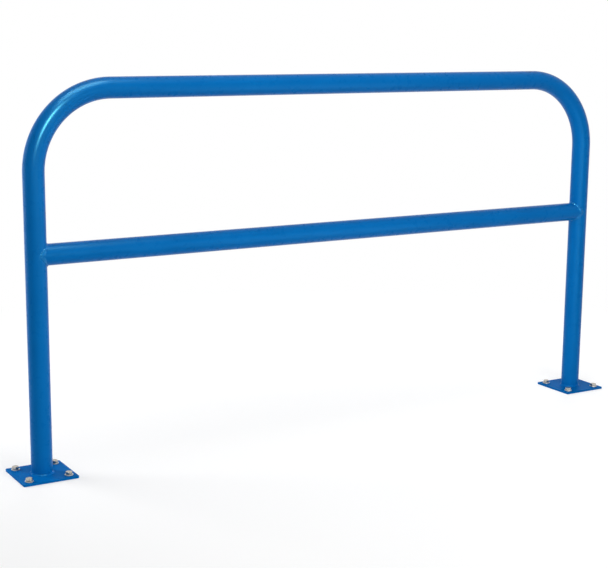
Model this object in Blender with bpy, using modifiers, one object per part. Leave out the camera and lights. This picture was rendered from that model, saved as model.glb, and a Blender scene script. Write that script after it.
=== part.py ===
"""Steel protection hoop: one bent tube on two bolted base plates, with a cross rail between its posts.

Metres, +Z up. The origin is at floor level, midway between the posts, and +X runs along the hoop.
"""

import math

import bmesh
import bpy
from mathutils import Matrix, Vector

# Hoop, the long bent tube
HOOP_HEIGHT = 1.100  # floor to the top of the tube
POST_SPACING = 1.940  # between the centre lines of the two posts
BEND_RADIUS = 0.225  # of the centre line

# Tube stock, the same for the hoop and the cross rail
TUBE_DIAMETER = 0.060
TUBE_WALL = 0.0025

# Cross rail
RAIL_HEIGHT = 0.622  # floor to the centre line

# Base plates
PLATE_SIDE = 0.160
PLATE_THICKNESS = 0.006
PLATE_CORNER_RADIUS = 0.005
PLATE_EDGE_BEVEL = 0.0006
HOLE_EDGE_DISTANCE = 0.0225  # from a hole's centre to the plate's edge

# Hexagon bolts and plain washers
BOLT_DIAMETER = 0.012
HOLE_CLEARANCE = 0.002  # plate hole over bolt, on the diameter
HEAD_ACROSS_FLATS = 0.018
HEAD_HEIGHT = 0.0075
HEAD_CHAMFER = 0.0005  # from the flats in to the round top
HEAD_CHAMFER_ANGLE = math.radians(30)
DISH_DIAMETER = 0.0116  # of the shallow recess in the head's top
DISH_DEPTH = 0.0005
DISH_WALL = 0.001  # how far the recess's sloping wall runs in
SHANK_END_CHAMFER = 0.001
WASHER_DIAMETER = 0.024
WASHER_CLEARANCE = 0.001  # washer bore over bolt, on the diameter
WASHER_THICKNESS = 0.0025
WASHER_EDGE_CHAMFER = 0.0005

# Weld beads: the leg is measured along each surface, the crown is how far the face bulges
RAIL_WELD_LEG = 0.0035
RAIL_WELD_CROWN = 0.0010
RAIL_WELD_FLANK = 0.0115  # more of a leg along the rail at its flanks, where the saddle's tips are cut off
FOOT_WELD_LEG = 0.004
FOOT_WELD_CROWN = 0.0006

# Gap between pieces that seat on each other
SEAT_GAP = 0.0003

# Facets
TUBE_SIDES = 36
BEND_STEPS = 15
CORNER_STEPS = 4
HOLE_SIDES = 24
FIXING_SIDES = 24
RAIL_WELD_STATIONS = 48
WELD_FACE_STEPS = 4

# Places that follow from the sizes
TUBE_RADIUS = TUBE_DIAMETER / 2
SEAT_RADIUS = TUBE_RADIUS + SEAT_GAP
HALF_SPACING = POST_SPACING / 2
HOLE_OFFSET = PLATE_SIDE / 2 - HOLE_EDGE_DISTANCE
PLATE_SEAT = PLATE_THICKNESS + SEAT_GAP
HEAD_SEAT = PLATE_SEAT + WASHER_THICKNESS + SEAT_GAP

SIDES = {"left": -1, "right": 1}  # where each post stands along X
FACES = {"front": -1, "back": 1}  # where each bolt sits along Y
ENDS = {"outer": 1, "inner": -1}  # away from the hoop's middle, or towards it


def clear_scene():
    for old in list(bpy.data.objects):
        bpy.data.objects.remove(old, do_unlink=True)


def new_collection(name):
    collection = bpy.data.collections.new(name)
    bpy.context.scene.collection.children.link(collection)
    return collection


def make_material(name, colour, roughness, metallic):
    material = bpy.data.materials.new(name)
    material.use_nodes = True
    shader = material.node_tree.nodes["Principled BSDF"]
    shader.inputs["Base Color"].default_value = (*colour, 1)
    shader.inputs["Roughness"].default_value = roughness
    shader.inputs["Metallic"].default_value = metallic
    material.diffuse_color = (*colour, 1)
    return material


def add_part(name, mesh, material):
    """An object of the hoop with this mesh, carried by the empty at the hoop's origin."""
    part = bpy.data.objects.new(name, mesh)
    if not mesh.materials:
        mesh.materials.append(material)
    hoop_collection.objects.link(part)
    part.parent = hoop_origin
    return part


def helper_object(name, data):
    """An object that only lends its shape, until mesh_of or a Boolean has used it."""
    helper = bpy.data.objects.new(name, data)
    cutter_collection.objects.link(helper)
    helper.hide_render = True
    helper.display_type = "WIRE"
    return helper


def mesh_of(helper):
    """The mesh that a helper's curve settings and modifiers make. The helper is removed."""
    bpy.context.view_layer.update()
    evaluated = helper.evaluated_get(bpy.context.evaluated_depsgraph_get())
    mesh = bpy.data.meshes.new_from_object(evaluated)
    mesh.name = helper.name
    bpy.data.objects.remove(helper, do_unlink=True)
    return mesh


def add_spline(curve, points, cyclic):
    spline = curve.splines.new("POLY")
    spline.points.add(len(points) - 1)
    for spline_point, place in zip(spline.points, points):
        spline_point.co = (*place, 1)
    spline.use_cyclic_u = cyclic


def arc(centre, radius, start, sweep, steps):
    """Points of an arc in the XY plane, both ends included."""
    angles = [start + sweep * step / steps for step in range(steps + 1)]
    return [centre + radius * Vector((math.cos(a), math.sin(a), 0)) for a in angles]


def shade_round(mesh):
    """Smooth shading over round faces, with sharp edges kept at corners and chamfers."""
    mesh.shade_smooth()
    mesh.set_sharp_from_angle(angle=math.radians(25))


# Tubes


def tube_skin(name, centre_line):
    """The outer skin of the tube stock along a centre line, open at both ends."""
    curve = bpy.data.curves.new(name, "CURVE")
    curve.dimensions = "3D"
    curve.bevel_depth = TUBE_RADIUS
    curve.bevel_resolution = TUBE_SIDES // 2 - 2
    add_spline(curve, centre_line, cyclic=False)
    mesh = mesh_of(helper_object(name, curve))
    mesh.shade_smooth()
    return mesh


def add_tube(name, centre_line):
    """A length of the tube stock: its skin, with the wall inside it."""
    tube = add_part(name, tube_skin(name, centre_line), coated_tube)
    wall = tube.modifiers.new("wall", "SOLIDIFY")
    wall.thickness = TUBE_WALL
    wall.offset = -1
    wall.use_even_offset = True
    return tube


def hoop_centre_line():
    """From the left foot up, over both bends and down to the right foot."""
    bend_centre = Vector((HALF_SPACING - BEND_RADIUS, 0, HOOP_HEIGHT - TUBE_RADIUS - BEND_RADIUS))
    right = [Vector((HALF_SPACING, 0, PLATE_SEAT))]
    for step in range(BEND_STEPS + 1):
        angle = math.pi / 2 * step / BEND_STEPS
        right.append(bend_centre + BEND_RADIUS * Vector((math.cos(angle), 0, math.sin(angle))))
    left = [Vector((-point.x, point.y, point.z)) for point in right]
    return left + right[::-1]


def post_cutter(side):
    """The post with a seat gap round it, which cuts the rail's end to a saddle."""
    bpy.ops.mesh.primitive_cylinder_add(vertices=TUBE_SIDES, radius=SEAT_RADIUS, depth=2 * TUBE_DIAMETER)
    primitive = bpy.context.object
    cutter = helper_object(f"{side}_post_cutter", primitive.data)
    bpy.data.objects.remove(primitive, do_unlink=True)
    cutter.location = (SIDES[side] * HALF_SPACING, 0, RAIL_HEIGHT)
    return cutter


def build_cross_rail():
    """A straight tube from post to post, with saddle ends that fit round the posts."""
    ends = [Vector((x, 0, RAIL_HEIGHT)) for x in (-HALF_SPACING, HALF_SPACING)]
    rail = add_tube("cross_rail", ends)
    for side in SIDES:
        saddle = rail.modifiers.new(f"{side}_saddle", "BOOLEAN")
        saddle.operation = "DIFFERENCE"
        saddle.solver = "EXACT"
        saddle.object = post_cutter(side)


# Base plates


def rounded_square():
    """The outline of a base plate, round its own centre."""
    reach = PLATE_SIDE / 2 - PLATE_CORNER_RADIUS
    outline = []
    for quarter in range(4):
        start = quarter * math.pi / 2
        corner = Matrix.Rotation(start, 3, "Z") @ Vector((reach, reach, 0))
        outline += arc(corner, PLATE_CORNER_RADIUS, start, math.pi / 2, CORNER_STEPS)
    return outline


def plate_mesh():
    """A flat plate with rounded corners and a hole near each, its underside at z = 0."""
    curve = bpy.data.curves.new("base_plate", "CURVE")
    curve.dimensions = "2D"
    curve.fill_mode = "BOTH"
    curve.extrude = PLATE_THICKNESS / 2
    add_spline(curve, rounded_square(), cyclic=True)
    hole_radius = (BOLT_DIAMETER + HOLE_CLEARANCE) / 2
    for x in (-HOLE_OFFSET, HOLE_OFFSET):
        for y in (-HOLE_OFFSET, HOLE_OFFSET):
            hole = arc(Vector((x, y, 0)), hole_radius, 0, 2 * math.pi, HOLE_SIDES)[:-1]
            add_spline(curve, hole, cyclic=True)
    mesh = mesh_of(helper_object("base_plate", curve))
    mesh.transform(Matrix.Translation((0, 0, PLATE_THICKNESS / 2)))
    return mesh


def build_base_plate(side, mesh):
    plate = add_part(f"{side}_base_plate", mesh, coated_plate)
    plate.location.x = SIDES[side] * HALF_SPACING
    closed = plate.modifiers.new("closed", "WELD")
    closed.merge_threshold = 0.00001
    edges = plate.modifiers.new("edges", "BEVEL")
    edges.width = PLATE_EDGE_BEVEL
    edges.segments = 1
    edges.limit_method = "ANGLE"
    edges.angle_limit = math.radians(60)


# Turned shapes


def profile_mesh(name, profile, closed):
    """A profile of (radius, height) points that runs down its outer side."""
    edges = [(i, i + 1) for i in range(len(profile) - 1)]
    if closed:
        edges.append((len(profile) - 1, 0))
    mesh = bpy.data.meshes.new(name)
    mesh.from_pydata([(radius, 0, height) for radius, height in profile], edges, [])
    return mesh


def add_turn(turned, sides):
    """Turns an object's profile round its Z axis."""
    screw = turned.modifiers.new("turn", "SCREW")
    screw.steps = sides
    screw.render_steps = sides
    screw.use_merge_vertices = True
    screw.merge_threshold = 0.00001
    screw.use_smooth_shade = True


def turned_helper(name, profile, closed):
    helper = helper_object(name, profile_mesh(name, profile, closed))
    add_turn(helper, FIXING_SIDES)
    return helper


# Fixings


def washer_mesh():
    """A plain washer, its underside at z = 0, with a chamfer round its upper rim."""
    bore = (BOLT_DIAMETER + WASHER_CLEARANCE) / 2
    rim = WASHER_DIAMETER / 2
    profile = [
        (bore, WASHER_THICKNESS),
        (rim - WASHER_EDGE_CHAMFER, WASHER_THICKNESS),
        (rim, WASHER_THICKNESS - WASHER_EDGE_CHAMFER),
        (rim, 0),
        (bore, 0),
    ]
    mesh = mesh_of(turned_helper("washer", profile, closed=True))
    shade_round(mesh)
    return mesh


def bolt_mesh():
    """A hexagon bolt with its head on z = 0 and its shank down through washer and plate."""
    corner_radius = HEAD_ACROSS_FLATS / 2 / math.cos(math.pi / 6)
    top_radius = HEAD_ACROSS_FLATS / 2 - HEAD_CHAMFER
    chamfer_drop = (corner_radius - top_radius) * math.tan(HEAD_CHAMFER_ANGLE)
    dish_radius = DISH_DIAMETER / 2
    round_top = [
        (0, HEAD_HEIGHT - DISH_DEPTH),
        (dish_radius - DISH_WALL, HEAD_HEIGHT - DISH_DEPTH),
        (dish_radius, HEAD_HEIGHT),
        (top_radius, HEAD_HEIGHT),
        (corner_radius, HEAD_HEIGHT - chamfer_drop),
        (corner_radius, -HEAD_HEIGHT),
        (0, -HEAD_HEIGHT),
    ]
    shank_radius = BOLT_DIAMETER / 2
    shank_end = SEAT_GAP - HEAD_SEAT
    shank = [
        (0, HEAD_HEIGHT / 2),
        (shank_radius, HEAD_HEIGHT / 2),
        (shank_radius, shank_end + SHANK_END_CHAMFER),
        (shank_radius - SHANK_END_CHAMFER, shank_end),
        (0, shank_end),
    ]
    bpy.ops.mesh.primitive_cylinder_add(vertices=6, radius=corner_radius, depth=HEAD_HEIGHT)
    head = bpy.context.object
    head.name = "bolt"
    head.data.transform(Matrix.Translation((0, 0, HEAD_HEIGHT / 2)))
    tools = (
        (turned_helper("round_top", round_top, closed=False), "INTERSECT"),
        (turned_helper("shank", shank, closed=False), "UNION"),
    )
    for tool, operation in tools:
        boolean = head.modifiers.new(tool.name, "BOOLEAN")
        boolean.operation = operation
        boolean.solver = "EXACT"
        boolean.object = tool
    mesh = mesh_of(head)
    for tool, _ in tools:
        bpy.data.objects.remove(tool, do_unlink=True)
    shade_round(mesh)
    return mesh


def build_fixings():
    """A washer and a bolt at each hole. Each head is turned a little further than the one before."""
    washer_shape = washer_mesh()
    bolt_shape = bolt_mesh()
    places = [(side, face, end) for side in SIDES for face in FACES for end in ENDS]
    for index, (side, face, end) in enumerate(places):
        x = SIDES[side] * (HALF_SPACING + ENDS[end] * HOLE_OFFSET)
        y = FACES[face] * HOLE_OFFSET
        washer = add_part(f"{side}_{face}_{end}_washer", washer_shape, zinc_washer)
        washer.location = (x, y, PLATE_SEAT)
        bolt = add_part(f"{side}_{face}_{end}_bolt", bolt_shape, zinc_bolt)
        bolt.location = (x, y, HEAD_SEAT)
        bolt.rotation_euler.z = math.radians(60) * index / len(places)


# Weld beads


def bead_face(start, end, bulge):
    """Points from toe to toe of a bead, bowed out by the vector bulge at the middle."""
    points = []
    for step in range(WELD_FACE_STEPS + 1):
        share = step / WELD_FACE_STEPS
        points.append(start.lerp(end, share) + bulge * 4 * share * (1 - share))
    return points


def build_foot_weld(side):
    """The fillet between the foot of a post and the top of its base plate."""
    root = Vector((SEAT_RADIUS, 0))
    post_toe = root + Vector((0, FOOT_WELD_LEG))
    plate_toe = root + Vector((FOOT_WELD_LEG, 0))
    bulge = Vector((1, 1)).normalized() * FOOT_WELD_CROWN
    profile = [*bead_face(post_toe, plate_toe, bulge), root]
    name = f"{side}_foot_weld"
    weld = add_part(name, profile_mesh(name, profile, closed=True), coated_weld)
    weld.location = (SIDES[side] * HALF_SPACING, 0, PLATE_SEAT)
    add_turn(weld, TUBE_SIDES)


def rail_weld_section(angle):
    """The bead's section at an angle round the rail. x runs from the post's axis along the rail."""
    across = math.cos(angle)
    up = math.sin(angle)
    root = SEAT_RADIUS * Vector((abs(up), across, up))
    rail_toe = root + Vector((RAIL_WELD_LEG + RAIL_WELD_FLANK * across**8, 0, 0))
    round_post = math.asin(across) + across * RAIL_WELD_LEG / SEAT_RADIUS
    post_toe = SEAT_RADIUS * Vector((math.cos(round_post), math.sin(round_post), up))
    post_toe.z += up * RAIL_WELD_LEG
    off_post = Vector((abs(up), across, 0))
    off_rail = Vector((0, across, up))
    bulge = (off_post + off_rail).normalized() * RAIL_WELD_CROWN
    return [*bead_face(post_toe, rail_toe, bulge), root]


def build_rail_weld(side):
    """The bead round the saddle joint of rail and post, lofted through its sections."""
    towards_rail = Matrix.Diagonal((-SIDES[side], 1, 1))
    angles = [2 * math.pi * i / RAIL_WELD_STATIONS for i in range(RAIL_WELD_STATIONS)]
    shape = bmesh.new()
    rings = [[shape.verts.new(towards_rail @ point) for point in rail_weld_section(a)] for a in angles]
    for here, there in zip(rings, rings[1:] + rings[:1]):
        for i, vertex in enumerate(here):
            shape.faces.new((here[i - 1], vertex, there[i], there[i - 1]))
    bmesh.ops.recalc_face_normals(shape, faces=shape.faces)
    name = f"{side}_rail_weld"
    mesh = bpy.data.meshes.new(name)
    shape.to_mesh(mesh)
    shape.free()
    mesh.shade_smooth()
    weld = add_part(name, mesh, coated_weld)
    weld.location = (SIDES[side] * HALF_SPACING, 0, RAIL_HEIGHT)


clear_scene()
hoop_collection = new_collection("steel_protection_hoop")
cutter_collection = new_collection("cutters")
hoop_origin = bpy.data.objects.new("hoop_origin", None)
hoop_collection.objects.link(hoop_origin)

coat_blue = (0.004, 0.125, 0.402)
zinc_grey = (0.62, 0.60, 0.55)
coated_tube = make_material("coated_tube", coat_blue, roughness=0.32, metallic=0)
coated_plate = make_material("coated_plate", coat_blue, roughness=0.36, metallic=0)
coated_weld = make_material("coated_weld", coat_blue, roughness=0.40, metallic=0)
zinc_bolt = make_material("zinc_bolt", zinc_grey, roughness=0.38, metallic=1)
zinc_washer = make_material("zinc_washer", zinc_grey, roughness=0.45, metallic=1)

add_tube("hoop_tube", hoop_centre_line())
build_cross_rail()
plate_shape = plate_mesh()
for post_side in SIDES:
    build_base_plate(post_side, plate_shape)
    build_foot_weld(post_side)
    build_rail_weld(post_side)
build_fixings()
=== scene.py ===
"""The looks of the steel protection hoop: fine meshes over the solids, finishes, lights and camera.

Metres, +Z up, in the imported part's own frame: +X runs along the hoop, and the camera stands in front, at -Y.
"""

import math

import bmesh
import bpy
from mathutils import Matrix, Vector


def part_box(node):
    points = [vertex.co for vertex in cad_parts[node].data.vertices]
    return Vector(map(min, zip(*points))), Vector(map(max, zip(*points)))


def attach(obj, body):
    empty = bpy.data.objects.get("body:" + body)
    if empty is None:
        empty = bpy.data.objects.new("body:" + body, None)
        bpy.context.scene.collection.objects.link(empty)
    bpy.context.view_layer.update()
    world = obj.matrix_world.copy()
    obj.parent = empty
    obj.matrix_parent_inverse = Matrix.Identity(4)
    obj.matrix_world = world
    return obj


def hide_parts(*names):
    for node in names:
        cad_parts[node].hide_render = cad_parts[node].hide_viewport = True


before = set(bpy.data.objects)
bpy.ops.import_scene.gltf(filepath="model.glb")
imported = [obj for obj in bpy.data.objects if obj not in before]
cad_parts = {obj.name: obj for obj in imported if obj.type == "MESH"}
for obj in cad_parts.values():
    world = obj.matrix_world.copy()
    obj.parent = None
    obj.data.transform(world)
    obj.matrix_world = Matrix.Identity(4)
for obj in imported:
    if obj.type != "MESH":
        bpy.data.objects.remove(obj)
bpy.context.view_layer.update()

# Sizes that the frame's boxes don't give
BEND_RADIUS = 0.225  # of the hoop's centre line
TUBE_WALL = 0.0025
SEAT_GAP = 0.0003  # between pieces that seat on each other
PLATE_CORNER_RADIUS = 0.005
PLATE_EDGE_ROUNDING = 0.0008
HOLE_RADIUS = 0.007
BOLT_RADIUS = 0.006
HEAD_ACROSS_FLATS = 0.018
HEAD_HEIGHT = 0.0075
HEAD_CHAMFER = 0.0005  # from the flats in to the flat top
HEAD_CHAMFER_ANGLE = math.radians(30)
HEAD_CORNER_SHARPNESS = 70  # the higher, the less its six corners are rounded
HEAD_TURN_STEP = math.radians(7.5)  # each of the eight heads is turned this much further than the one before
DISH_RADIUS = 0.0058  # of the shallow recess in the head's top
DISH_DEPTH = 0.0005
DISH_WALL = 0.001  # how far the recess's sloping wall runs in
THREAD_PITCH = 0.00175
THREAD_DEPTH = 0.00095
THREAD_RUNOUT = 0.0012  # where the thread fades out at both ends
SHANK_END_CHAMFER = 0.001
WASHER_BORE_RADIUS = 0.0065
WASHER_EDGE_ROUNDING = 0.0005
WASHER_SMALL_CHAMFER = WASHER_EDGE_ROUNDING / 3  # at its other edges
RAIL_WELD_LEG = 0.0035
RAIL_WELD_CROWN = 0.0010
RAIL_WELD_FLANK = 0.0115  # more of a leg along the rail at its flanks, where the saddle's tips are cut off
RAIL_WELD_FLANK_POWER = 8  # the higher, the closer to the flanks that longer leg stays
FOOT_WELD_LEG = 0.004
FOOT_WELD_CROWN = 0.0006
WELD_SINK = 0.0003  # how deep a bead's toes run into the surfaces that they join
WELD_SWELL = 0.16  # share by which a bead's legs grow and shrink
WELD_LUMP = 0.5  # share by which its crown does
WELD_UNEVENNESS = ((5, 0.4), (9, 2.1), (14, 4.0))  # waves round the joint, each with its phase
RIPPLE_PITCH = 0.0032
RAIL_RIPPLE_DEPTH = 0.0002
FOOT_RIPPLE_DEPTH = 0.0001
RIPPLE_LAG = 0.9  # in turns of the wave, how far a ripple's ends trail behind its middle

# Places read from the frame
hoop_low, hoop_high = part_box("hoop_tube")
rail_low, rail_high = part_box("cross_rail")
plate_low, plate_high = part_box("right_base_plate")
TUBE_RADIUS = hoop_high.y
SEAT_RADIUS = TUBE_RADIUS + SEAT_GAP
HALF_SPACING = hoop_high.x - TUBE_RADIUS
TOP_AXIS = hoop_high.z - TUBE_RADIUS
RAIL_AXIS = (rail_low.z + rail_high.z) / 2
PLATE_SIDE = plate_high.x - plate_low.x
PLATE_THICKNESS = plate_high.z - plate_low.z

# Fineness of the meshes
TUBE_SIDES = 96
BEND_STEPS = 48
STRAIGHT_STEP = 0.06
RAIL_STEPS = 32
CORNER_STEPS = 8
HOLE_SIDES = 64
WASHER_SIDES = 72
ROUNDING_STEPS = 4
THREAD_ROWS = 56
WELD_STATIONS = 640
WELD_FACE_STEPS = 8
EDGE_BEVEL_STEPS = 3
MERGE_DISTANCE = 0.00001

# Edges where the faces turn by more than this, in degrees, stay sharp or are rounded off
TUBE_EDGE_ANGLE = 40
PLATE_EDGE_ANGLE = 60
WASHER_EDGE_ANGLE = 35
BOLT_EDGE_ANGLE = 28

COAT_SLOT = "blue_powder_coat"
ZINC_SLOT = "zinc_plated_steel"

SIDES = {"left": -1, "right": 1}
FACES = {"front": -1, "back": 1}
ENDS = {"outer": 1, "inner": -1}

# Finishes, with colours in linear light
COAT_DARK = (0.0005, 0.115, 0.380)
COAT_LIGHT = (0.0010, 0.125, 0.403)
COAT_SHINE = (0.18, 0.85, 1.0)  # the tint of its gloss
COAT_PEEL = 0.000003  # height of its orange peel
ZINC_UNEVENNESS = 0.00006  # height of what the forging left
BOLT_TONES = [(0.33, 0.30, 0.25), (0.45, 0.42, 0.37), (0.57, 0.55, 0.51)]
WASHER_TONES = [(0.52, 0.51, 0.46), (0.62, 0.61, 0.56), (0.70, 0.70, 0.68)]

# Camera
CAMERA_PLACE = (-2.1847, -3.4675, 1.2475)
CAMERA_YAW = math.radians(30.743)  # from +Y towards +X
CAMERA_PITCH = math.radians(10.960)  # below the horizon
CAMERA_ROLL = math.radians(0.523)
CAMERA_LENS = 79.74
CAMERA_SENSOR = 36.0

# Floor: its colour and its glow add up to white, except in the hoop's shadow
FLOOR_REACH = 60.0
FLOOR_SHOWN = 0.55
FLOOR_GLOW = (0.34, 0.63)  # far left and far right, to make up for the lamps' falling off
FLOOR_GLOW_REACH = 2.0  # from here on, to either side, the glow has those values
FLOOR_BOUNCE = 0.6
FLOOR_NEAR = 1.25  # within this distance of the hoop's middle the floor shows its shadows
FLOOR_FAR = 2.2  # and beyond this one it is plain white

SURROUND_LEVEL = 0.25  # of the even light from all round


coated_pieces = bpy.data.collections.new("coated_pieces")  # what the sheen and the streak fall on


# Meshes


def facing(angle):
    """A direction in the hoop's plane, at an angle above +X."""
    return Vector((math.cos(angle), 0, math.sin(angle)))


def full_turn(count):
    return [2 * math.pi * i / count for i in range(count)]


def lofted(name, rings, closed):
    """A mesh through rings of points. Either the last ring meets the first, or both end rings are capped."""
    shape = bmesh.new()
    loops = [[shape.verts.new(point) for point in ring] for ring in rings]
    for here, there in zip(loops, loops[1:] + loops[:closed]):
        for i, vertex in enumerate(here):
            shape.faces.new((here[i - 1], vertex, there[i], there[i - 1]))
    if not closed:
        shape.faces.new(loops[0])
        shape.faces.new(loops[-1])
    bmesh.ops.recalc_face_normals(shape, faces=shape.faces)
    mesh = bpy.data.meshes.new(name)
    shape.to_mesh(mesh)
    shape.free()
    return mesh


def shade_round(mesh, angle):
    """Smooth shading, with edges kept sharp where the faces turn by more than the angle, in degrees."""
    mesh.shade_smooth()
    mesh.set_sharp_from_angle(angle=math.radians(angle))


def add_piece(name, mesh, material, slot, node, place=Matrix.Identity(4)):
    """A piece of the hoop that stands for a node of the frame."""
    piece = bpy.data.objects.new(name, mesh)
    if not mesh.materials:
        mesh.materials.append(material)
    bpy.context.scene.collection.objects.link(piece)
    piece.matrix_world = place
    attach(piece, "root")
    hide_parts(node)
    if slot == COAT_SLOT:
        coated_pieces.objects.link(piece)
    return piece


# Tubes


def straight_run(start, end, angle):
    """Stations from start to end, both included."""
    steps = max(1, round((end - start).length / STRAIGHT_STEP))
    return [(start.lerp(end, step / steps), angle) for step in range(steps + 1)]


def hoop_stations():
    """Centres along the hoop, from foot to foot, each with the angle that its outer side faces."""
    half_top = HALF_SPACING - BEND_RADIUS
    bend_axis = TOP_AXIS - BEND_RADIUS
    left_foot, right_foot = (Vector((x, 0, hoop_low.z)) for x in (-HALF_SPACING, HALF_SPACING))
    left_bend, right_bend = (Vector((x, 0, bend_axis)) for x in (-half_top, half_top))
    stations = straight_run(left_foot, left_bend + BEND_RADIUS * facing(math.pi), math.pi)
    for centre, start in ((left_bend, math.pi), (right_bend, math.pi / 2)):
        for step in range(1, BEND_STEPS + 1):
            angle = start - math.pi / 2 * step / BEND_STEPS
            stations.append((centre + BEND_RADIUS * facing(angle), angle))
        if centre is left_bend:
            top_ends = [bend + BEND_RADIUS * facing(math.pi / 2) for bend in (left_bend, right_bend)]
            stations += straight_run(*top_ends, math.pi / 2)[1:]
    stations += straight_run(right_bend + BEND_RADIUS * facing(0), right_foot, 0)[1:]
    return stations


def hoop_rings(radius):
    rings = []
    for centre, angle in hoop_stations():
        outward = facing(angle)
        ring = []
        for turn in full_turn(TUBE_SIDES):
            ring.append(centre + radius * (math.cos(turn) * outward + math.sin(turn) * Vector((0, 1, 0))))
        rings.append(ring)
    return rings


def rail_rings(radius):
    """Rings along the cross rail. The end rings follow the saddles round the posts."""
    rings = []
    for step in range(RAIL_STEPS + 1):
        share = 2 * step / RAIL_STEPS - 1
        ring = []
        for turn in full_turn(TUBE_SIDES):
            across = radius * math.cos(turn)
            reach = HALF_SPACING - math.sqrt(SEAT_RADIUS**2 - across**2)
            ring.append(Vector((share * reach, across, RAIL_AXIS + radius * math.sin(turn))))
        rings.append(ring)
    return rings


def build_tube(name, rings_at, material):
    """A hollow tube: its outer skin there and its inner skin back."""
    outer = rings_at(TUBE_RADIUS)
    inner = rings_at(TUBE_RADIUS - TUBE_WALL)
    mesh = lofted(name, outer + inner[::-1], closed=True)
    shade_round(mesh, TUBE_EDGE_ANGLE)
    add_piece(f"{name}_skin", mesh, material, COAT_SLOT, name)


# Base plates


def arc(centre, radius, start, sweep, steps):
    angles = [start + sweep * step / steps for step in range(steps + 1)]
    return [centre + radius * Vector((math.cos(a), math.sin(a), 0)) for a in angles]


def add_spline(curve, points):
    spline = curve.splines.new("POLY")
    spline.points.add(len(points) - 1)
    for spline_point, place in zip(spline.points, points):
        spline_point.co = (*place, 1)
    spline.use_cyclic_u = True


def plate_mesh():
    """A base plate with its underside at z = 0, from a flat outline with four holes."""
    curve = bpy.data.curves.new("plate_outline", "CURVE")
    curve.dimensions = "2D"
    curve.fill_mode = "BOTH"
    curve.extrude = PLATE_THICKNESS / 2
    reach = PLATE_SIDE / 2 - PLATE_CORNER_RADIUS
    outline = []
    for quarter in range(4):
        start = quarter * math.pi / 2
        corner = Matrix.Rotation(start, 3, "Z") @ Vector((reach, reach, 0))
        outline += arc(corner, PLATE_CORNER_RADIUS, start, math.pi / 2, CORNER_STEPS)
    add_spline(curve, outline)
    for face in FACES:
        for end in ENDS:
            hole = bolt_place("right", face, end) - Vector((HALF_SPACING, 0, 0))
            add_spline(curve, arc(hole, HOLE_RADIUS, 0, 2 * math.pi, HOLE_SIDES)[:-1])
    lender = bpy.data.objects.new("plate_outline", curve)
    bpy.context.scene.collection.objects.link(lender)
    bpy.context.view_layer.update()
    mesh = bpy.data.meshes.new_from_object(lender.evaluated_get(bpy.context.evaluated_depsgraph_get()))
    bpy.data.objects.remove(lender, do_unlink=True)
    shape = bmesh.new()
    shape.from_mesh(mesh)
    bmesh.ops.remove_doubles(shape, verts=shape.verts, dist=MERGE_DISTANCE)
    bmesh.ops.translate(shape, verts=shape.verts, vec=(0, 0, PLATE_THICKNESS / 2))
    shape.to_mesh(mesh)
    shape.free()
    mesh.shade_smooth()
    return mesh


def build_base_plate(side, mesh, material):
    place = Matrix.Translation((SIDES[side] * HALF_SPACING, 0, plate_low.z))
    name = f"{side}_base_plate"
    plate = add_piece(f"{name}_coated", mesh, material, COAT_SLOT, name, place)
    edges = plate.modifiers.new("rounded_edges", "BEVEL")
    edges.width = PLATE_EDGE_ROUNDING
    edges.segments = EDGE_BEVEL_STEPS
    edges.limit_method = "ANGLE"
    edges.angle_limit = math.radians(PLATE_EDGE_ANGLE)
    edges.harden_normals = True


# Bolts and washers


def bolt_place(side, face, end):
    """The axis of a bolt at floor level, read from its washer's box."""
    low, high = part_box(f"{side}_{face}_{end}_washer")
    return Vector(((low.x + high.x) / 2, (low.y + high.y) / 2, 0))


def rounding(centre_radius, centre_height, start, radius):
    """A quarter round of a turned profile, as points (radius, height), clockwise from the start angle."""
    points = []
    for step in range(ROUNDING_STEPS + 1):
        angle = start - math.pi / 2 * step / ROUNDING_STEPS
        points.append((centre_radius + radius * math.cos(angle), centre_height + radius * math.sin(angle)))
    return points


def washer_mesh(radius, thickness):
    """A flat washer with a rolled upper rim, its underside at z = 0."""
    rim = radius - WASHER_EDGE_ROUNDING
    top = thickness - WASHER_EDGE_ROUNDING
    profile = [(WASHER_BORE_RADIUS, 0), (WASHER_BORE_RADIUS, thickness - WASHER_SMALL_CHAMFER)]
    profile += [(WASHER_BORE_RADIUS + WASHER_SMALL_CHAMFER, thickness)]
    profile += rounding(rim, top, math.pi / 2, WASHER_EDGE_ROUNDING)
    profile += [(radius, WASHER_SMALL_CHAMFER), (radius - WASHER_SMALL_CHAMFER, 0)]
    rings = []
    for turn in full_turn(WASHER_SIDES):
        rings.append([Vector((r * math.cos(turn), r * math.sin(turn), z)) for r, z in profile])
    mesh = lofted("washer", rings, closed=True)
    shade_round(mesh, WASHER_EDGE_ANGLE)
    return mesh


def head_turns():
    """Angles round a bolt, closer together at the six corners of its head."""
    offsets = (-25, -20, -15, -10, -6, -3, -1.5, -0.6, 0, 0.6, 1.5, 3, 6, 10, 15, 20, 25, 30)
    return [math.radians(60 * corner + offset) for corner in range(6) for offset in offsets]


def head_radius(turn):
    """From the bolt's axis out to its six flats, with corners at multiples of 60 degrees."""
    total = 0
    for flat in range(3):
        total += abs(math.cos(turn - math.radians(30 + 60 * flat))) ** HEAD_CORNER_SHARPNESS
    return HEAD_ACROSS_FLATS / 2 / total ** (1 / HEAD_CORNER_SHARPNESS)


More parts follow.
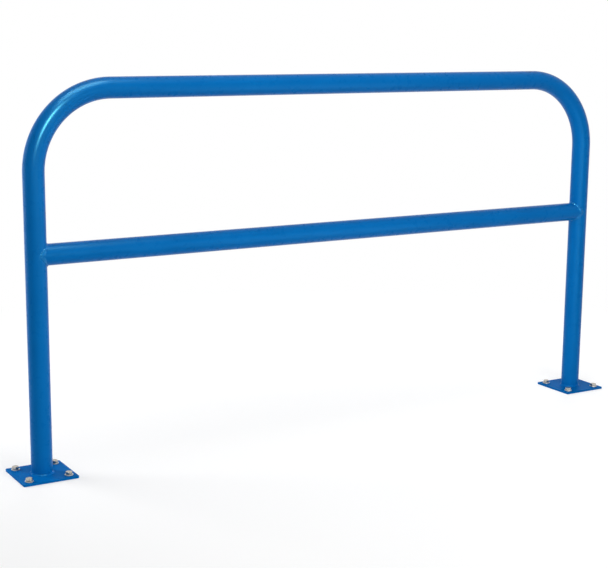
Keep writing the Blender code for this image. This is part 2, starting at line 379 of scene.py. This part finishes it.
def head_rings():
    """Rings of a bolt's head, from the dish in its top down to the shank."""
    top_radius = HEAD_ACROSS_FLATS / 2 - HEAD_CHAMFER
    rings = []
    floor_radius = DISH_RADIUS - DISH_WALL
    inner_radius = floor_radius / 3
    rings.append([(inner_radius, HEAD_HEIGHT - DISH_DEPTH) for _ in head_turns()])
    for step in range(ROUNDING_STEPS + 1):
        share = step / ROUNDING_STEPS
        height = HEAD_HEIGHT - DISH_DEPTH * (1 + math.cos(math.pi * share)) / 2
        rings.append([(floor_radius + share * DISH_WALL, height) for _ in head_turns()])
    rings.append([(top_radius, HEAD_HEIGHT) for _ in head_turns()])
    chamfer, foot, under = [], [], []
    for turn in head_turns():
        radius = head_radius(turn)
        drop = (radius - top_radius) * math.tan(HEAD_CHAMFER_ANGLE)
        chamfer.append((radius, HEAD_HEIGHT - drop))
        foot.append((radius, SEAT_GAP))
        under.append((radius - SEAT_GAP, 0))
    return [*rings, chamfer, foot, under]


def thread_share(height, length):
    """How much of the thread's depth is cut at a height: none at the ends of the shank."""
    from_ends = min(-height, length + height) / THREAD_RUNOUT
    return max(0.0, min(1.0, from_ends))


def shank_rings(length):
    """Rings of the threaded shank from the head down to its end."""
    rings = []
    threaded = length - SHANK_END_CHAMFER
    for row in range(THREAD_ROWS + 1):
        height = -threaded * row / THREAD_ROWS
        ring = []
        for turn in head_turns():
            wave = (height / THREAD_PITCH - turn / (2 * math.pi)) % 1
            groove = 1 - abs(2 * wave - 1)
            ring.append((BOLT_RADIUS - THREAD_DEPTH * groove * thread_share(height, threaded), height))
        rings.append(ring)
    rings.append([(BOLT_RADIUS - SHANK_END_CHAMFER, -length) for _ in head_turns()])
    return rings


def bolt_mesh(shank_length):
    """A hexagon bolt with the underside of its head at z = 0."""
    rings = []
    for ring in head_rings() + shank_rings(shank_length):
        turned = zip(ring, head_turns())
        rings.append([Vector((r * math.cos(turn), r * math.sin(turn), z)) for (r, z), turn in turned])
    mesh = lofted("bolt", rings, closed=False)
    shade_round(mesh, BOLT_EDGE_ANGLE)
    return mesh


def build_fixings(bolt_finish, washer_finish):
    """A washer and a bolt at each hole of the base plates."""
    washer_low, washer_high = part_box("left_front_outer_washer")
    bolt_low, bolt_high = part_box("left_front_outer_bolt")
    head_seat = bolt_high.z - HEAD_HEIGHT
    washer = washer_mesh((washer_high.x - washer_low.x) / 2, washer_high.z - washer_low.z)
    bolt = bolt_mesh(head_seat - bolt_low.z)
    places = [(side, face, end) for side in SIDES for face in FACES for end in ENDS]
    for index, (side, face, end) in enumerate(places):
        name = f"{side}_{face}_{end}"
        axis = bolt_place(side, face, end)
        seat = Matrix.Translation(axis + Vector((0, 0, washer_low.z)))
        add_piece(f"{name}_flat_washer", washer, washer_finish, ZINC_SLOT, f"{name}_washer", seat)
        turn = Matrix.Rotation(HEAD_TURN_STEP * index, 4, "Z")
        seat = Matrix.Translation(axis + Vector((0, 0, head_seat))) @ turn
        add_piece(f"{name}_hex_bolt", bolt, bolt_finish, ZINC_SLOT, f"{name}_bolt", seat)


# Weld beads


def unevenness(turn):
    """How a hand-laid bead swells and thins round the joint, between about -1 and 1."""
    return sum(math.sin(waves * turn + phase) for waves, phase in WELD_UNEVENNESS) / len(WELD_UNEVENNESS)


def bead_mesh(name, section_at, ripple_depth):
    """A rippled bead round a joint. section_at gives its toes, its bulge and its buried root at an angle."""
    turns = full_turn(WELD_STATIONS)
    sections = [section_at(turn, 1 + WELD_SWELL * unevenness(turn)) for turn in turns]
    lengths = [0.0]
    for (_, _, _, here), (_, _, _, there) in zip(sections, sections[1:] + sections[:1]):
        lengths.append(lengths[-1] + (there - here).length)
    ripples = round(lengths[-1] / RIPPLE_PITCH)
    rings = []
    for turn, length, (start, end, bulge, root) in zip(turns, lengths, sections):
        ring = []
        for step in range(WELD_FACE_STEPS + 1):
            share = step / WELD_FACE_STEPS
            crown = 4 * share * (1 - share)
            wave = math.cos(2 * math.pi * (ripples * length / lengths[-1] + RIPPLE_LAG * crown))
            lift = bulge.length * (1 + WELD_LUMP * unevenness(turn)) + ripple_depth * wave
            ring.append(start.lerp(end, share) + bulge.normalized() * lift * crown)
        rings.append([*ring, root])
    mesh = lofted(name, rings, closed=True)
    mesh.shade_smooth()
    return mesh


def foot_weld_section(turn, swell):
    """The fillet between post and plate, round the post's axis, with z = 0 on the plate."""
    out = Vector((math.cos(turn), math.sin(turn), 0))
    up = Vector((0, 0, 1))
    leg = FOOT_WELD_LEG * swell
    seat = TUBE_RADIUS * out
    post_toe = seat - WELD_SINK * out + leg * up
    plate_toe = seat + leg * out - WELD_SINK * up
    return post_toe, plate_toe, FOOT_WELD_CROWN * (out + up).normalized(), seat - WELD_SINK * (out + up)


def rail_weld_section(turn, swell):
    """The bead at an angle round the rail, with x measured from the post's axis along the rail."""
    across = math.cos(turn)
    up = math.sin(turn)
    leg = RAIL_WELD_LEG * swell
    inside = TUBE_RADIUS - WELD_SINK
    root = inside * Vector((abs(up), across, up))
    rail_toe = root + Vector((leg + RAIL_WELD_FLANK * across**RAIL_WELD_FLANK_POWER, 0, 0))
    round_post = math.asin(across) + across * leg / TUBE_RADIUS
    post_toe = inside * Vector((math.cos(round_post), math.sin(round_post), up))
    post_toe.z += up * leg
    off_post = Vector((abs(up), across, 0))
    off_rail = Vector((0, across, up))
    bulge = RAIL_WELD_CROWN * (off_post + off_rail).normalized()
    return post_toe, rail_toe, bulge, root - WELD_SINK * off_rail


def build_welds(side, foot_material, rail_material):
    """The bead at the foot of a post and the bead at its joint with the rail."""
    x = SIDES[side] * HALF_SPACING
    mesh = bead_mesh(f"{side}_foot_weld", foot_weld_section, FOOT_RIPPLE_DEPTH)
    place = Matrix.Translation((x, 0, plate_high.z))
    add_piece(f"{side}_foot_weld_bead", mesh, foot_material, COAT_SLOT, f"{side}_foot_weld", place)
    mesh = bead_mesh(f"{side}_rail_weld", rail_weld_section, RAIL_RIPPLE_DEPTH)
    mesh.transform(Matrix.Diagonal((-SIDES[side], 1, 1, 1)))
    if SIDES[side] > 0:
        mesh.flip_normals()
    place = Matrix.Translation((x, 0, RAIL_AXIS))
    add_piece(f"{side}_rail_weld_bead", mesh, rail_material, COAT_SLOT, f"{side}_rail_weld", place)


# Finishes


def new_material(name):
    material = bpy.data.materials.new(name)
    material.use_nodes = True
    tree = material.node_tree
    return material, tree, tree.nodes["Principled BSDF"]


def noise(tree, scale, detail):
    """A noise texture in the object's own coordinates, with the scale in waves a metre."""
    place = tree.nodes.new("ShaderNodeTexCoord")
    texture = tree.nodes.new("ShaderNodeTexNoise")
    texture.inputs["Scale"].default_value = scale
    texture.inputs["Detail"].default_value = detail
    tree.links.new(place.outputs["Object"], texture.inputs["Vector"])
    return texture.outputs["Fac"]


def ramp(tree, factor, stops):
    """A colour ramp with stops of (position, colour)."""
    node = tree.nodes.new("ShaderNodeValToRGB")
    while len(node.color_ramp.elements) < len(stops):
        node.color_ramp.elements.new(0.5)
    for element, (position, colour) in zip(node.color_ramp.elements, stops):
        element.position = position
        element.color = (*colour, 1)
    tree.links.new(factor, node.inputs["Fac"])
    return node.outputs["Color"]


def spread(tree, factor, low, high, start=0.0, end=1.0):
    """The factor, which goes from start to end, mapped to run from low to high."""
    node = tree.nodes.new("ShaderNodeMapRange")
    node.inputs["From Min"].default_value = start
    node.inputs["From Max"].default_value = end
    node.inputs["To Min"].default_value = low
    node.inputs["To Max"].default_value = high
    tree.links.new(factor, node.inputs["Value"])
    return node.outputs["Result"]


def bump(tree, height, distance, under=None):
    """A bump of a height in metres, on top of the bump under it."""
    node = tree.nodes.new("ShaderNodeBump")
    node.inputs["Strength"].default_value = 1
    node.inputs["Distance"].default_value = distance
    tree.links.new(height, node.inputs["Height"])
    if under is not None:
        tree.links.new(under, node.inputs["Normal"])
    return node.outputs["Normal"]


def powder_coat(name, roughness, waviness, gloss):
    """Blue powder coat: an even colour with faint clouds, a slow waviness and a fine orange peel."""
    material, tree, shader = new_material(name)
    clouds = ramp(tree, noise(tree, scale=9, detail=3), [(0.3, COAT_DARK), (0.7, COAT_LIGHT)])
    tree.links.new(clouds, shader.inputs["Base Color"])
    dulling = spread(tree, noise(tree, scale=60, detail=4), roughness - 0.03, roughness + 0.03)
    tree.links.new(dulling, shader.inputs["Roughness"])
    slow = bump(tree, noise(tree, scale=45, detail=1), waviness)
    peel = bump(tree, noise(tree, scale=420, detail=2), COAT_PEEL, under=slow)
    tree.links.new(peel, shader.inputs["Normal"])
    shader.inputs["Specular IOR Level"].default_value = gloss
    shader.inputs["Specular Tint"].default_value = (*COAT_SHINE, 1)
    return material


def zinc_plate(name, tones, roughness, ring_depth):
    """Dull zinc plating in clouds of three tones, with fine turned rings and a forged unevenness."""
    material, tree, shader = new_material(name)
    clouds = ramp(tree, noise(tree, scale=260, detail=4), list(zip((0.3, 0.5, 0.7), tones)))
    tree.links.new(clouds, shader.inputs["Base Color"])
    dulling = spread(tree, noise(tree, scale=700, detail=3), roughness - 0.1, roughness + 0.1)
    tree.links.new(dulling, shader.inputs["Roughness"])
    shader.inputs["Metallic"].default_value = 1
    place = tree.nodes.new("ShaderNodeTexCoord")
    rings = tree.nodes.new("ShaderNodeTexWave")
    rings.wave_type = "RINGS"
    rings.rings_direction = "Z"
    rings.inputs["Scale"].default_value = 900
    rings.inputs["Distortion"].default_value = 1.5
    tree.links.new(place.outputs["Object"], rings.inputs["Vector"])
    turned = bump(tree, rings.outputs["Fac"], ring_depth)
    forged = bump(tree, noise(tree, scale=500, detail=3), ZINC_UNEVENNESS, under=turned)
    tree.links.new(forged, shader.inputs["Normal"])
    return material


# Stage, light and camera


def seen_directly(tree):
    """1 for the camera's rays and for those mirrored or refracted, 0 for light that surfaces exchange."""
    path = tree.nodes.new("ShaderNodeLightPath")
    total = path.outputs["Is Camera Ray"]
    for other in ("Is Glossy Ray", "Is Transmission Ray"):
        node = tree.nodes.new("ShaderNodeMath")
        node.operation = "MAXIMUM"
        tree.links.new(total, node.inputs[0])
        tree.links.new(path.outputs[other], node.inputs[1])
        total = node.outputs["Value"]
    return total


def chosen(tree, factor, first, second):
    """The first shader where the factor is 0 and the second where it is 1."""
    node = tree.nodes.new("ShaderNodeMixShader")
    tree.links.new(factor, node.inputs["Fac"])
    tree.links.new(first, node.inputs[1])
    tree.links.new(second, node.inputs[2])
    return node.outputs["Shader"]


def diffuse(tree, level):
    node = tree.nodes.new("ShaderNodeBsdfDiffuse")
    node.inputs["Color"].default_value = (level, level, level, 1)
    return node.outputs["BSDF"]


def glow(tree, strength):
    node = tree.nodes.new("ShaderNodeEmission")
    node.inputs["Strength"].default_value = strength
    return node.outputs["Emission"]


def floor_near_hoop(tree):
    """The floor as it is seen near the hoop, where it keeps the shadow."""
    place = tree.nodes.new("ShaderNodeNewGeometry")
    axes = tree.nodes.new("ShaderNodeSeparateXYZ")
    tree.links.new(place.outputs["Position"], axes.inputs["Vector"])
    fill = glow(tree, 1)
    level = spread(tree, axes.outputs["X"], *FLOOR_GLOW, -FLOOR_GLOW_REACH, FLOOR_GLOW_REACH)
    tree.links.new(level, fill.node.inputs["Strength"])
    both = tree.nodes.new("ShaderNodeAddShader")
    tree.links.new(diffuse(tree, FLOOR_SHOWN), both.inputs[0])
    tree.links.new(fill, both.inputs[1])
    return both.outputs["Shader"]


def share_of_distance(tree):
    """0 near the hoop and 1 far from it."""
    place = tree.nodes.new("ShaderNodeNewGeometry")
    distance = tree.nodes.new("ShaderNodeVectorMath")
    distance.operation = "LENGTH"
    tree.links.new(place.outputs["Position"], distance.inputs[0])
    share = spread(tree, distance.outputs["Value"], 0, 1, FLOOR_NEAR, FLOOR_FAR)
    share.node.interpolation_type = "SMOOTHSTEP"
    return share


def add_floor():
    """A pale floor that shows white, with the hoop's shadow faintly on it."""
    bpy.ops.mesh.primitive_plane_add(size=2 * FLOOR_REACH)
    floor = bpy.context.object
    floor.name = "floor"
    material = bpy.data.materials.new("floor")
    material.use_nodes = True
    tree = material.node_tree
    tree.nodes.remove(tree.nodes["Principled BSDF"])
    shown = chosen(tree, share_of_distance(tree), floor_near_hoop(tree), glow(tree, 1))
    surface = chosen(tree, seen_directly(tree), diffuse(tree, FLOOR_BOUNCE), shown)
    tree.links.new(surface, tree.nodes["Material Output"].inputs["Surface"])
    floor.data.materials.append(material)


def light_world(level):
    """A white surround where it is seen, and an even light of a lower level."""
    world = bpy.data.worlds.new("studio")
    world.use_nodes = True
    bpy.context.scene.world = world
    tree = world.node_tree
    even = tree.nodes["Background"]
    even.inputs["Color"].default_value = (level, level, level, 1)
    white = tree.nodes.new("ShaderNodeBackground")
    white.inputs["Color"].default_value = (1, 1, 1, 1)
    surround = chosen(tree, seen_directly(tree), even.outputs["Background"], white.outputs["Background"])
    tree.links.new(surround, tree.nodes["World Output"].inputs["Surface"])


def add_softbox(name, place, target, width, height, brightness):
    """A rectangular softbox. Its brightness is that of its face, where 1 is white."""
    light = bpy.data.lights.new(name, "AREA")
    light.shape = "RECTANGLE"
    light.size = width
    light.size_y = height
    light.energy = brightness * width * height * math.pi
    softbox = bpy.data.objects.new(name, light)
    bpy.context.scene.collection.objects.link(softbox)
    softbox.location = place
    softbox.rotation_mode = "QUATERNION"
    softbox.rotation_quaternion = (Vector(target) - Vector(place)).to_track_quat("-Z", "Y")
    softbox.visible_camera = False
    return softbox


def light_scene():
    """Softboxes round the hoop: five only fill, and three only shine, two of them on the coat alone."""
    # Name, place, target, width, height and brightness of each
    key = add_softbox("key", (-0.1, -3.5, 0.6), (0, 0, 0.6), 1.6, 1.6, 9.5)
    side = add_softbox("side", (-2.1, 1.4, 0.8), (0, 0, 0.6), 1.2, 1.4, 7.4)
    top = add_softbox("top", (-0.45, -0.8, 3.3), (-0.3, 0, 1.05), 2.2, 2.2, 3.1)
    back = add_softbox("back", (0.8, 3.2, 1.2), (0, 0, 0.6), 1.6, 1.6, 4.0)
    far_side = add_softbox("far_side", (2.5, 1.7, 0.9), (0, 0, 0.6), 1.2, 1.4, 5.0)
    for fill in (key, side, top, back, far_side):
        fill.visible_glossy = False
    band = add_softbox("band", (0.43, -0.92, 0.4), (0.43, 0, 0.7), 1.1, 1.4, 3.3)
    sheen = add_softbox("sheen", (-1.0, -0.8, 3.3), (-0.85, 0, 1.05), 1.9, 1.5, 29.0)
    streak = add_softbox("streak", (-1.80, -2.88, 2.25), (-0.9, 0, 1.0), 0.22, 1.25, 710.0)
    for shine in (band, sheen, streak):
        shine.visible_diffuse = False
    for shine in (sheen, streak):
        shine.light_linking.receiver_collection = coated_pieces


def add_camera():
    camera = bpy.data.cameras.new("camera")
    camera.sensor_fit = "HORIZONTAL"
    camera.sensor_width = CAMERA_SENSOR
    camera.lens = CAMERA_LENS
    viewer = bpy.data.objects.new("camera", camera)
    bpy.context.scene.collection.objects.link(viewer)
    level = Matrix.Rotation(-CAMERA_YAW, 4, "Z") @ Matrix.Rotation(math.pi / 2 - CAMERA_PITCH, 4, "X")
    viewer.matrix_world = Matrix.Translation(CAMERA_PLACE) @ level @ Matrix.Rotation(CAMERA_ROLL, 4, "Z")
    bpy.context.scene.camera = viewer


add_camera()

coated_tube = powder_coat("coated_tube", roughness=0.28, waviness=0.00002, gloss=0.11)
coated_plate = powder_coat("coated_plate", roughness=0.45, waviness=0.00003, gloss=0.008)
coated_foot = powder_coat("coated_foot", roughness=0.32, waviness=0.00003, gloss=0.06)
coated_joint = powder_coat("coated_joint", roughness=0.18, waviness=0.00003, gloss=0.5)
zinc_bolt = zinc_plate("zinc_bolt", BOLT_TONES, roughness=0.26, ring_depth=0.00001)
zinc_washer = zinc_plate("zinc_washer", WASHER_TONES, roughness=0.34, ring_depth=0.00002)

build_tube("hoop_tube", hoop_rings, coated_tube)
build_tube("cross_rail", rail_rings, coated_tube)
plate = plate_mesh()
for post_side in SIDES:
    build_base_plate(post_side, plate, coated_plate)
    build_welds(post_side, coated_foot, coated_joint)
build_fixings(zinc_bolt, zinc_washer)

add_floor()
light_world(SURROUND_LEVEL)
light_scene()

bpy.context.scene.view_settings.view_transform = "Standard"
